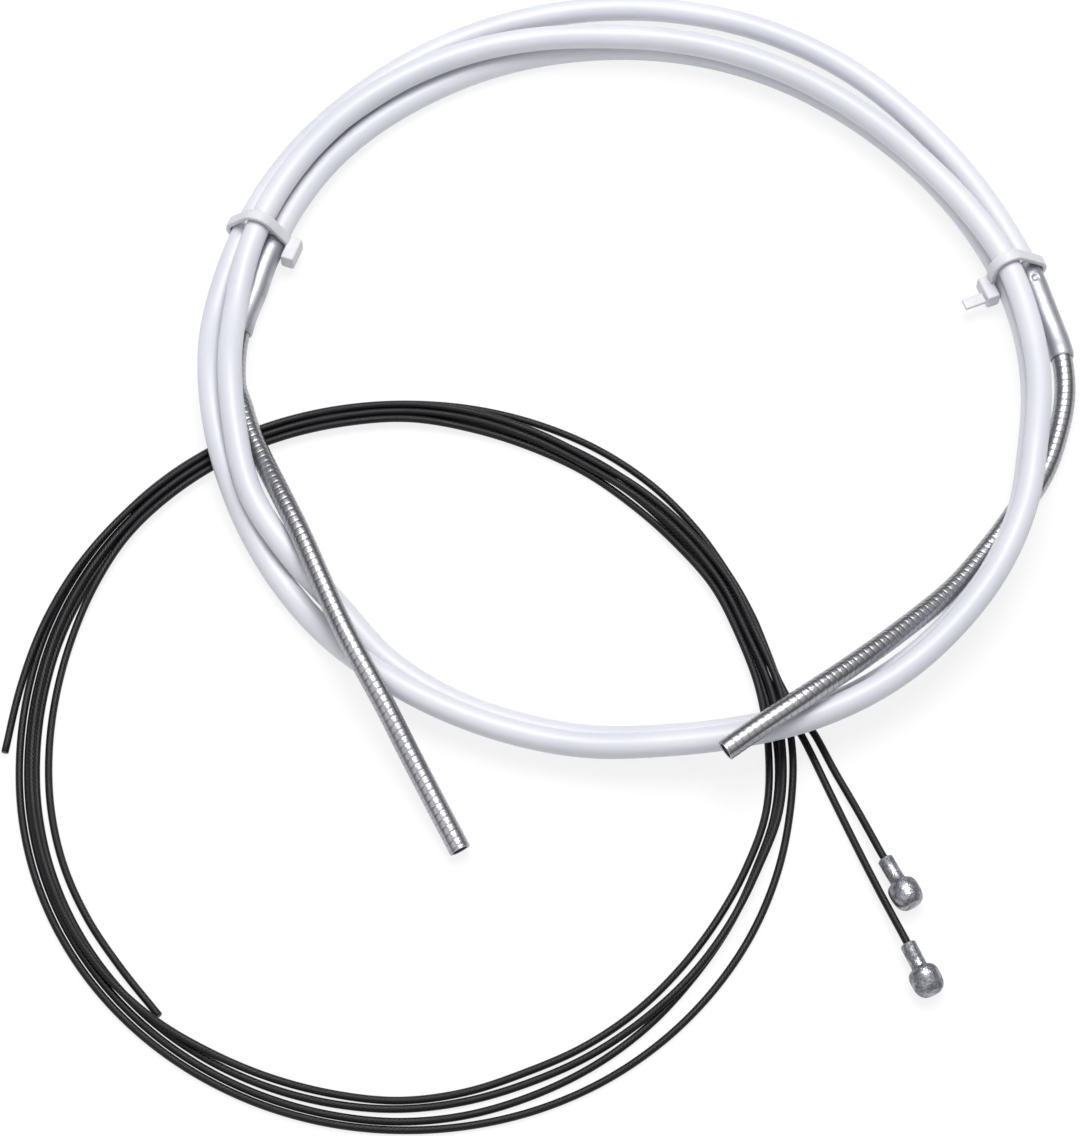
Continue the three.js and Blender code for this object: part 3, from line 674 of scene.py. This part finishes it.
@dataclass
class InnerWire:
    """A coated inner wire: the strand from its cast head, along its lead, and around the coil."""

    name: str
    node: str
    head_node: str
    mouth: tuple
    heading: float
    lead: tuple
    laps: tuple
    diameter: float = 0.0015
    clearance: float = 0.00015
    centre: tuple = (-0.0286, -0.0485)
    radius: float = 0.077
    sink: float = 0.0035
    head_diameter: float = 0.006
    head_length: float = 0.0056
    collar_diameter: float = 0.0031
    collar_length: float = 0.0052
    head_bore: float = 0.0019
    bore_clearance: float = 0.0003
    seam: float = 0.00007
    seam_width: float = 0.045
    straight: float = 0.002
    sides: int = 18
    step: float = 0.0015
    path_step: float = 0.0025
    tip_fall: float = 0.0001
    tip_length: float = 0.0002
    head_edge: float = 0.0002
    end_share: float = 0.6
    seam_from: float = 1.1
    head_sides: int = 56
    bulb_rings: int = 40

    BULB = (
        (0, 0.06), (0.04, 0.34), (0.1, 0.65), (0.2, 0.88), (0.36, 1), (0.48, 1.01), (0.6, 0.99),
        (0.74, 0.9), (0.86, 0.73), (0.95, 0.48), (1, 0.24),
    )

    def __post_init__(self) -> None:
        """Lays the route from inside the head's collar to the plain cut end."""
        turn = math.radians(self.heading)
        self.direction = np.array((math.cos(turn), math.sin(turn), 0.0))
        middle = np.array((*self.centre, 0.0))
        self.origin = middle + np.array((*self.mouth, self.head_diameter / 2))
        angles = np.arange(self.laps[0][0], self.laps[-1][0] + 1, STATION_STEP)
        place, layer = SmoothTable(self.laps).at(angles).T
        drift = SmoothTable(WIRE_DRIFT, ring=True).at(angles)[:, 0]
        pitch = self.diameter + self.clearance
        height = self.diameter / 2 + layer * pitch * math.sqrt(3) / 2
        coil = coil_stations(self.centre, self.radius, angles, drift + place * pitch, height)
        start = [self.origin + self.direction * reach for reach in (self.sink, 0, -self.straight)]
        self.line = Centreline(np.concatenate([start, middle + np.array(self.lead), coil]))

    def build(self, finishes: dict) -> None:
        """Args:
            finishes: the material of each slot.
        """
        length, tip = self.line.length, self.tip_length
        along = np.concatenate([[0.0], spaced(tip, length - tip, self.step), [length]])
        radius = self.diameter / 2 - end_fall(along, self.tip_fall, tip, power=1)
        wire = Skin.around(self.line, along, radius, self.sides).to_object(self.name, closed=False)
        set_out(wire, finishes, Slot.WIRE, self.node)
        head = set_out(self.head(), finishes, Slot.HEAD, self.head_node)
        path = self.line.at(spaced(0, length, self.path_step))

    def head(self) -> Piece:
        """The cast head, turned about its own axis, with the seam that its mould left.

        The outline runs out of the bore, along the collar and over the bulb. A row of BULB is (share of
        the bulb's length, share of the way from the collar's radius to the bulb's). The seam is a low
        ridge on both sides, which falls off with the turn from them.
        """
        neck, end = self.collar_length, self.collar_length + self.head_length
        collar, bulb, bore = self.collar_diameter / 2, self.head_diameter / 2, self.head_bore / 2
        edge, floor = self.head_edge, self.sink + self.bore_clearance
        mouth = np.array((
            (floor, bore / 2), (floor, bore), (edge, bore), (0.0, bore + edge / 2), (0.0, collar - edge),
            (edge, collar), (neck / 2, collar), (neck - 2 * edge, collar),
        ))
        share = np.linspace(0, 1, self.bulb_rings)
        rise = SmoothTable(self.BULB).at(share)[:, 0]
        body = np.stack([neck + share * self.head_length, collar + rise * (bulb - collar)], axis=1)
        rows = np.concatenate([mouth, body, [(end, collar * self.end_share)]])
        turn = turns(self.head_sides)
        seam = np.exp(-((np.angle(np.exp(2j * turn)) / 2 / self.seam_width) ** 2))
        outer = (rows[:, 1] > collar * self.seam_from)[:, None]
        radius = rows[:, 1:] + np.where(outer, self.seam * seam[None, :], 0)
        side = np.cross(UP, self.direction)
        across = np.cos(turn)[:, None] * side + np.sin(turn)[:, None] * UP
        rings = self.origin + rows[:, :1, None] * self.direction + radius[..., None] * across[None]
        return Skin(rings, rows[:, 0]).to_object(f"{self.name}_head", closed=False)


class NodeSheet:
    """Adds nodes to a material's or a group's tree and links them."""

    def __init__(self, tree: Tree) -> None:
        """Keeps the tree."""
        self.tree = tree

    def add(self, kind: str, inputs: dict | None = None, **settings: object) -> bpy.types.Node:
        """Adds one node.

        Args:
            kind: the node's type, without the word ShaderNode.
            inputs: a value for each of its inputs, or a socket to link there.
            settings: the node's own settings.

        Returns:
            The new node.
        """
        node = self.tree.nodes.new(kind if kind.startswith("NodeGroup") else f"ShaderNode{kind}")
        for name, value in settings.items():
            setattr(node, name, value)
        for key, value in (inputs or {}).items():
            if isinstance(value, Socket):
                self.tree.links.new(value, node.inputs[key])
            else:
                node.inputs[key].default_value = value
        return node

    def maths(self, operation: str, *values: object) -> Socket:
        """The result of one Math node on these values or sockets."""
        return self.add("Math", dict(enumerate(values)), operation=operation).outputs[0]

    def spread(self, value: Socket, low: float, high: float, start: object, end: object) -> Socket:
        """Maps a value from low...high smoothly to start...end, and holds it there outside."""
        inputs = {"Value": value, "From Min": low, "From Max": high, "To Min": start, "To Max": end}
        return self.add("MapRange", inputs, interpolation_type="SMOOTHSTEP").outputs["Result"]

    def turn_and_distance(self) -> tuple[Socket, Socket]:
        """The turn around a piece, from 0 to 1, and the distance along it, as its UV map holds them."""
        parts = self.add("SeparateXYZ", {0: self.add("UVMap", uv_map=UV_NAME).outputs[0]}).outputs
        return parts[0], parts[1]

    def group(self, kind: Tree, **inputs: object) -> Socket:
        """The result of a node group, with its inputs by name."""
        return self.add("Group", inputs, node_tree=kind).outputs[0]


def new_group(name: str, inputs: dict, result: str) -> tuple[NodeSheet, bpy.types.Node, Socket]:
    """Starts a node group with number sockets.

    Args:
        name: the group's name.
        inputs: the default value of each input.
        result: the name of its one output.

    Returns:
        The group's sheet, its input node, and the socket that takes its result.
    """
    tree = bpy.data.node_groups.new(name, "ShaderNodeTree")
    for socket, value in inputs.items():
        tree.interface.new_socket(socket, in_out="INPUT", socket_type="NodeSocketFloat").default_value = value
    tree.interface.new_socket(result, in_out="OUTPUT", socket_type="NodeSocketFloat")
    sheet = NodeSheet(tree)
    return sheet, sheet.add("NodeGroupInput"), sheet.add("NodeGroupOutput").inputs[result]


def grain_group() -> Tree:
    """Grain in the piece's own space: noise by grains to the metre, with its contrast raised."""
    sheet, given, out = new_group("grain", {"Grains": 400.0, "Detail": 3.0, "Contrast": 1.0}, "Mask")
    place = sheet.add("TexCoord").outputs["Object"]
    inputs = {"Vector": place, "Scale": given.outputs["Grains"], "Detail": given.outputs["Detail"]}
    noise = sheet.add("TexNoise", inputs).outputs["Fac"]
    raised = sheet.maths("MULTIPLY_ADD", sheet.maths("SUBTRACT", noise, 0.5), given.outputs["Contrast"], 0.5)
    sheet.tree.links.new(sheet.add("Clamp", {"Value": raised}).outputs[0], out)
    return sheet.tree


def scuff_group() -> Tree:
    """Fine lines that run along a piece or around it.

    The noise is read at (around * cos u, around * sin u, along * v), where u is the turn around the
    piece and v the distance along it, so that the lines meet at the seam. Only its peaks are kept: the
    mask rises from 0 to 1 over LINE_SOFTNESS, from LINE_TOP - LINE_REACH * share.
    """
    sheet, given, out = new_group("scuffs", {"Around": 6.0, "Along": 60.0, "Share": 0.4}, "Mask")
    u, v = sheet.turn_and_distance()
    turn, around = sheet.maths("MULTIPLY", u, 2 * math.pi), given.outputs["Around"]
    across = [sheet.maths("MULTIPLY", sheet.maths(wave, turn), around) for wave in ("COSINE", "SINE")]
    along = sheet.maths("MULTIPLY", v, given.outputs["Along"])
    place = sheet.add("CombineXYZ", {0: across[0], 1: across[1], 2: along}).outputs[0]
    noise = sheet.add("TexNoise", {"Vector": place, "Scale": 1.0, "Detail": 3.0}).outputs["Fac"]
    start = sheet.maths("SUBTRACT", LINE_TOP, sheet.maths("MULTIPLY", given.outputs["Share"], LINE_REACH))
    inputs = {"Value": noise, "From Min": start, "From Max": sheet.maths("ADD", start, LINE_SOFTNESS)}
    sheet.tree.links.new(sheet.add("MapRange", inputs).outputs["Result"], out)
    return sheet.tree


def twist_group() -> Tree:
    """The strands of a wire rope under its coat.

    With u the turn around and v the distance along, the crown is |sin(pi * (strands * u + v / lay))|
    for the number of strands and the distance between two crowns on a line along the rope.
    """
    sheet, given, out = new_group("strand_twist", {"Strands": 12.0, "Lay": 0.001}, "Crown")
    u, v = sheet.turn_and_distance()
    around = sheet.maths("MULTIPLY", u, given.outputs["Strands"])
    along = sheet.maths("DIVIDE", v, given.outputs["Lay"])
    wave = sheet.maths("SINE", sheet.maths("MULTIPLY", sheet.maths("ADD", around, along), math.pi))
    sheet.tree.links.new(sheet.maths("ABSOLUTE", wave), out)
    return sheet.tree


@dataclass(frozen=True)
class Effects:
    """The node groups that the finishes share."""

    grain: Tree
    scuffs: Tree
    twist: Tree


class FinishSheet(NodeSheet):
    """A material's tree, with the shared effects by their settings."""

    def __init__(self, tree: Tree, effects: Effects) -> None:
        """Keeps the tree and the effects."""
        super().__init__(tree)
        self.effects = effects

    def grain(self, grains: float, detail: float, contrast: float) -> Socket:
        """Grain with so many grains to the metre."""
        return self.group(self.effects.grain, Grains=grains, Detail=detail, Contrast=contrast)

    def scuffs(self, around: float, along: float, share: float) -> Socket:
        """Fine lines: how closely they follow around and along, and the share of them that shows."""
        return self.group(self.effects.scuffs, Around=around, Along=along, Share=share)

    def twist(self, strands: float, lay: float) -> Socket:
        """The crowns of twisted strands."""
        return self.group(self.effects.twist, Strands=strands, Lay=lay)


@dataclass(frozen=True)
class Finish:
    """What every finish sets: two tones, a roughness with its range, and constants of the shader."""

    name: str
    tone: tuple
    # The second tone; on the flat wire it is painted groove shade.
    worn: tuple
    roughness: tuple
    metallic: float = 0.0
    coat: float = 0.0
    gloss: float = 0.5
    coat_roughness: float = 0.12

    def material(self, effects: Effects) -> Material:
        """Makes the material: the subclass gives the surface, and the constants go on the shader.

        Args:
            effects: the shared node groups.

        Returns:
            The material.
        """
        material = bpy.data.materials.new(self.name)
        material.use_nodes = True
        sheet = FinishSheet(material.node_tree, effects)
        shader = material.node_tree.nodes["Principled BSDF"]
        shader.inputs["Metallic"].default_value = self.metallic
        shader.inputs["Coat Weight"].default_value = self.coat
        shader.inputs["Specular IOR Level"].default_value = self.gloss
        shader.inputs["Coat Roughness"].default_value = self.coat_roughness
        colour, roughness, height, depth = self.surface(sheet)
        bump = sheet.add("Bump", {"Height": height, "Distance": depth, "Strength": 1.0}).outputs[0]
        for value, socket in ((colour, "Base Color"), (roughness, "Roughness"), (bump, "Normal")):
            sheet.tree.links.new(value, shader.inputs[socket])
        return material

    def surface(self, sheet: FinishSheet) -> tuple:
        """The colour, roughness and height sockets, and the height's depth in metres."""
        raise NotImplementedError

    def toned(self, sheet: NodeSheet, mask: Socket) -> Socket:
        """The tone, blended to the worn tone by a mask; on the flat wire that second tone is painted groove
        shade.
        """
        inputs = {0: mask, MIX_FIRST: (*self.tone, 1), MIX_SECOND: (*self.worn, 1)}
        return sheet.add("Mix", inputs, data_type="RGBA").outputs[MIX_RESULT]


@dataclass(frozen=True)
class GlossyJacket(Finish):
    """Extruded plastic: a slow change of tone, scuffs along it, and a faint ripple of the wire below."""

    ripple_pitch: float = 0.0015

    def surface(self, sheet: FinishSheet) -> tuple:
        """Tone by broad grain, roughness by scuffs, height by the ripple and a fine grain."""
        broad = sheet.grain(grains=30.0, detail=2.0, contrast=2.2)
        fine = sheet.grain(grains=900.0, detail=3.0, contrast=1.0)
        scuffs = sheet.scuffs(around=9.0, along=45.0, share=0.35)
        ripple = sheet.twist(strands=1.0, lay=self.ripple_pitch)
        colour = self.toned(sheet, sheet.spread(broad, 0.2, 0.9, 0.0, 0.8))
        roughness = sheet.spread(scuffs, 0.0, 1.0, *self.roughness)
        height = sheet.maths("ADD", sheet.maths("MULTIPLY", ripple, 0.2), sheet.maths("MULTIPLY", fine, 0.8))
        return colour, roughness, height, 0.00003


@dataclass(frozen=True)
class SpringSteel(Finish):
    """Drawn flat wire: bright crowns with draw lines around the tube, and dull grooves darkened with painted
    shade.
    """

    def surface(self, sheet: FinishSheet) -> tuple:
        """Tone and roughness by the stored groove depth, as painted shade in the grooves, varied by stains;
        height by the draw lines.
        """
        groove = sheet.add("Attribute", attribute_name=GROOVE_NAME).outputs["Fac"]
        stain = sheet.grain(grains=160.0, detail=4.0, contrast=2.4)
        lines = sheet.scuffs(around=1.2, along=9000.0, share=0.6)
        # The deeper in a groove, the more the tone goes to the second tone: painted shade where the turns
        # shade each other.
        painted_groove_shade = sheet.spread(groove, 0.12, 0.75, 0.0, 1.0)
        # The mask takes the larger of the painted groove shade and the real stains; it also sets the
        # roughness.
        mask = sheet.maths("MAXIMUM", painted_groove_shade, sheet.maths("MULTIPLY", stain, 0.22))
        low, high = self.roughness
        roughness = sheet.maths("MULTIPLY_ADD", mask, high - low, low)
        return self.toned(sheet, mask), roughness, lines, 0.000006


@dataclass(frozen=True)
class SatinSteel(Finish):
    """Pressed sleeve: fine turning lines around it, with small rubbed patches."""

    def surface(self, sheet: FinishSheet) -> tuple:
        """Tone by rubbed patches, roughness and height by turning lines."""
        rubbed = sheet.grain(grains=260.0, detail=4.0, contrast=2.6)
        lines = sheet.scuffs(around=1.5, along=7000.0, share=0.7)
        both = sheet.maths("MULTIPLY_ADD", lines, 0.5, sheet.maths("MULTIPLY", rubbed, 0.5))
        return self.toned(sheet, rubbed), sheet.spread(both, 0.1, 0.8, *self.roughness), lines, 0.000008


@dataclass(frozen=True)
class MouldedNylon(Finish):
    """Milky nylon: a cloudy tone, with a fine spark grain."""

    def surface(self, sheet: FinishSheet) -> tuple:
        """Tone by clouds, roughness and height by the grain."""
        cloud = sheet.grain(grains=220.0, detail=2.0, contrast=2.4)
        spark = sheet.grain(grains=3200.0, detail=2.0, contrast=1.8)
        return self.toned(sheet, cloud), sheet.spread(spark, 0.2, 0.8, *self.roughness), spark, 0.00002


@dataclass(frozen=True)
class CoatedStrand(Finish):
    """Black coating over twisted strands, rubbed grey along the crowns here and there."""

    strands: float = 12.0
    lay: float = 0.00095

    def surface(self, sheet: FinishSheet) -> tuple:
        """Tone by rubs on the crowns, roughness by a broad grain, height by the strands."""
        crown = sheet.twist(strands=self.strands, lay=self.lay)
        patch = sheet.grain(grains=90.0, detail=3.0, contrast=2.4)
        tops, worn = sheet.spread(crown, 0.7, 1.0, 0.0, 1.0), sheet.spread(patch, 0.5, 0.9, 0.0, 0.7)
        rub = sheet.maths("MULTIPLY", tops, worn)
        return self.toned(sheet, rub), sheet.spread(patch, 0.1, 0.9, *self.roughness), crown, 0.00003


@dataclass(frozen=True)
class CastMetal(Finish):
    """Die-cast head: a rough grain in two sizes, mottled light and dark."""

    def surface(self, sheet: FinishSheet) -> tuple:
        """Tone, roughness and height by two sizes of grain."""
        pits = sheet.grain(grains=2000.0, detail=4.0, contrast=2.6)
        patch = sheet.grain(grains=520.0, detail=3.0, contrast=3.6)
        both = sheet.maths("MULTIPLY_ADD", pits, 0.5, sheet.maths("MULTIPLY", patch, 0.5))
        return self.toned(sheet, both), sheet.spread(patch, 0.2, 0.9, *self.roughness), both, 0.0001


@dataclass(frozen=True)
class LinerPlastic(Finish):
    """Slippery liner tube: a little yellowed, with draw lines along it."""

    def surface(self, sheet: FinishSheet) -> tuple:
        """Tone by clouds, roughness and height by the lines."""
        cloud = sheet.grain(grains=120.0, detail=2.0, contrast=2.0)
        lines = sheet.scuffs(around=12.0, along=30.0, share=0.5)
        return self.toned(sheet, cloud), sheet.spread(lines, 0.0, 1.0, *self.roughness), lines, 0.00001


def make_finishes() -> dict:
    """Makes the material of each slot.

    Returns:
        The materials by slot.
    """
    effects = Effects(grain_group(), scuff_group(), twist_group())
    table = {
        Slot.JACKET: GlossyJacket("jacket_plastic", (0.65, 0.655, 0.71), (0.585, 0.595, 0.66), (0.42, 0.56),
                                  coat=0.05),
        # The flat wire's second tone is the painted shade of its grooves and the colour of its stains.
        Slot.FLAT_WIRE: SpringSteel("spring_steel", (0.44, 0.44, 0.47), (0.2, 0.197, 0.205), (0.27, 0.44),
                                    metallic=1.0),
        Slot.LINER: LinerPlastic("liner_plastic", (0.84, 0.81, 0.72), (0.74, 0.70, 0.60), (0.35, 0.5)),
        Slot.SLEEVE: SatinSteel("sleeve_steel", (0.58, 0.58, 0.63), (0.44, 0.44, 0.49), (0.46, 0.62),
                                 metallic=1.0),
        Slot.TIE: MouldedNylon("tie_nylon", (0.65, 0.645, 0.68), (0.58, 0.575, 0.61), (0.4, 0.56)),
        Slot.WIRE: CoatedStrand("wire_coating", (0.008, 0.0075, 0.009), (0.022, 0.021, 0.023), (0.26, 0.42),
                                gloss=0.22),
        Slot.HEAD: CastMetal("cast_zinc", (0.46, 0.46, 0.5), (0.1, 0.1, 0.12), (0.26, 0.55), metallic=0.9),
    }
    return {slot: finish.material(effects) for slot, finish in table.items()}


@dataclass
class Studio:
    """A pale table under a broad soft lamp, and the camera."""

    table_size: float = 6.0
    table_tone: float = 0.86
    paleness: float = 0.82
    lamp_size: float = 0.65
    lamp_place: tuple = (0.05, 0.35, 1.15)
    lamp_power: float = 12.0
    fill_size: float = 1.4
    fill_place: tuple = (-0.9, -0.9, 0.8)
    fill_power: float = 3.0
    zenith: float = 0.8
    horizon: float = 0.11
    dim_below: float = 0.3
    bright_above: float = 0.85
    target: tuple = (-0.002, -0.008, 0.0)
    camera_distance: float = 0.8
    camera_elevation: float = 64.0
    lens: float = 126.8
    sensor_width: float = 36.0

    def build(self) -> None:
        """Sets out the table, the sky, the lamps and the camera."""
        self.table()
        self.sky()
        self.lamp("lamp", self.lamp_place, self.lamp_size, self.lamp_power)
        self.lamp("fill", self.fill_place, self.fill_size, self.fill_power)
        self.camera()
        bpy.context.scene.view_settings.view_transform = "Standard"

    def table(self) -> None:
        """A flat table whose paper white shows to the camera and in reflections, under the shadows."""
        half = self.table_size / 2
        mesh = bpy.data.meshes.new("table")
        corners = [(-half, -half, 0), (half, -half, 0), (half, half, 0), (-half, half, 0)]
        mesh.from_pydata(corners, [], [(0, 1, 2, 3)])
        table = added("table", mesh)
        material = bpy.data.materials.new("table_white")
        material.use_nodes = True
        sheet = NodeSheet(material.node_tree)
        sheet.tree.nodes.remove(sheet.tree.nodes["Principled BSDF"])
        path = sheet.add("LightPath").outputs
        seen = sheet.maths("MAXIMUM", path["Is Camera Ray"], path["Is Glossy Ray"])
        seen = sheet.maths("MAXIMUM", seen, path["Is Transmission Ray"])
        share = sheet.maths("MULTIPLY", seen, self.paleness)
        paper = sheet.add("BsdfDiffuse", {"Color": (*(self.table_tone,) * 3, 1)}).outputs[0]
        white = sheet.add("Emission", {"Color": (1, 1, 1, 1), "Strength": 1.0}).outputs[0]
        mix = sheet.add("MixShader", {0: share, 1: paper, 2: white}).outputs[0]
        sheet.tree.links.new(mix, sheet.tree.nodes["Material Output"].inputs["Surface"])
        mesh.materials.append(material)

    def sky(self) -> None:
        """Light from all round, dim at the horizon and bright overhead."""
        world = bpy.data.worlds.new("sky")
        world.use_nodes = True
        sheet = NodeSheet(world.node_tree)
        up = sheet.add("SeparateXYZ", {0: sheet.add("TexCoord").outputs["Generated"]}).outputs[2]
        strength = sheet.spread(up, self.dim_below, self.bright_above, self.horizon, self.zenith)
        sheet.tree.links.new(strength, world.node_tree.nodes["Background"].inputs["Strength"])
        world.node_tree.nodes["Background"].inputs["Color"].default_value = (1.0, 1.0, 1.0, 1.0)
        bpy.context.scene.world = world

    def lamp(self, name: str, place: tuple, size: float, power: float) -> None:
        """A square lamp that faces the middle of the set."""
        data = bpy.data.lights.new(name, "AREA")
        data.shape, data.size, data.energy = "SQUARE", size, power
        lamp = added(name, data)
        lamp.location = place
        lamp.rotation_euler = (Vector(self.target) - Vector(place)).to_track_quat("-Z", "Y").to_euler()

    def camera(self) -> None:
        """The camera, at its distance and elevation from the point that it looks at."""
        data = bpy.data.cameras.new("camera")
        data.lens, data.sensor_width, data.sensor_fit = self.lens, self.sensor_width, "AUTO"
        camera = added("camera", data)
        rise = math.radians(self.camera_elevation)
        away = Vector((0.0, -math.cos(rise), math.sin(rise))) * self.camera_distance
        camera.location = Vector(self.target) + away
        camera.rotation_euler = (-away).to_track_quat("-Z", "Y").to_euler()
        bpy.context.scene.camera = camera


def main() -> None:
    """Builds the set, the table and the camera."""
    logging.basicConfig(level=logging.INFO, format="%(name)s: %(message)s")
    finishes = make_finishes()
    casing = Casing()
    casing.build(finishes)
    log.info("casing: %.1f mm", casing.line.length * 1000)
    for tie in (
        CableTie("tie_left", "cable_tie_left", 159.5, 0.0, Turn.TOWARDS_END, tail=False),
        CableTie("tie_right", "cable_tie_right", 14.0, 8.0, Turn.TOWARDS_START, tail=True),
    ):
        tie.build(casing, finishes)
    for wire in (
        InnerWire("short_wire", "inner_wire_short", "wire_head_short", (0.0929, -0.0232), -62.5,
                  SHORT_WIRE_LEAD, SHORT_WIRE_LAPS),
        InnerWire("long_wire", "inner_wire_long", "wire_head_long", (0.0966, -0.0406), -66.0,
                  LONG_WIRE_LEAD, LONG_WIRE_LAPS),
    ):
        wire.build(finishes)
        log.info("%s: %.1f mm", wire.name, wire.line.length * 1000)
    Studio().build()


if __name__ == "__main__":
    main()
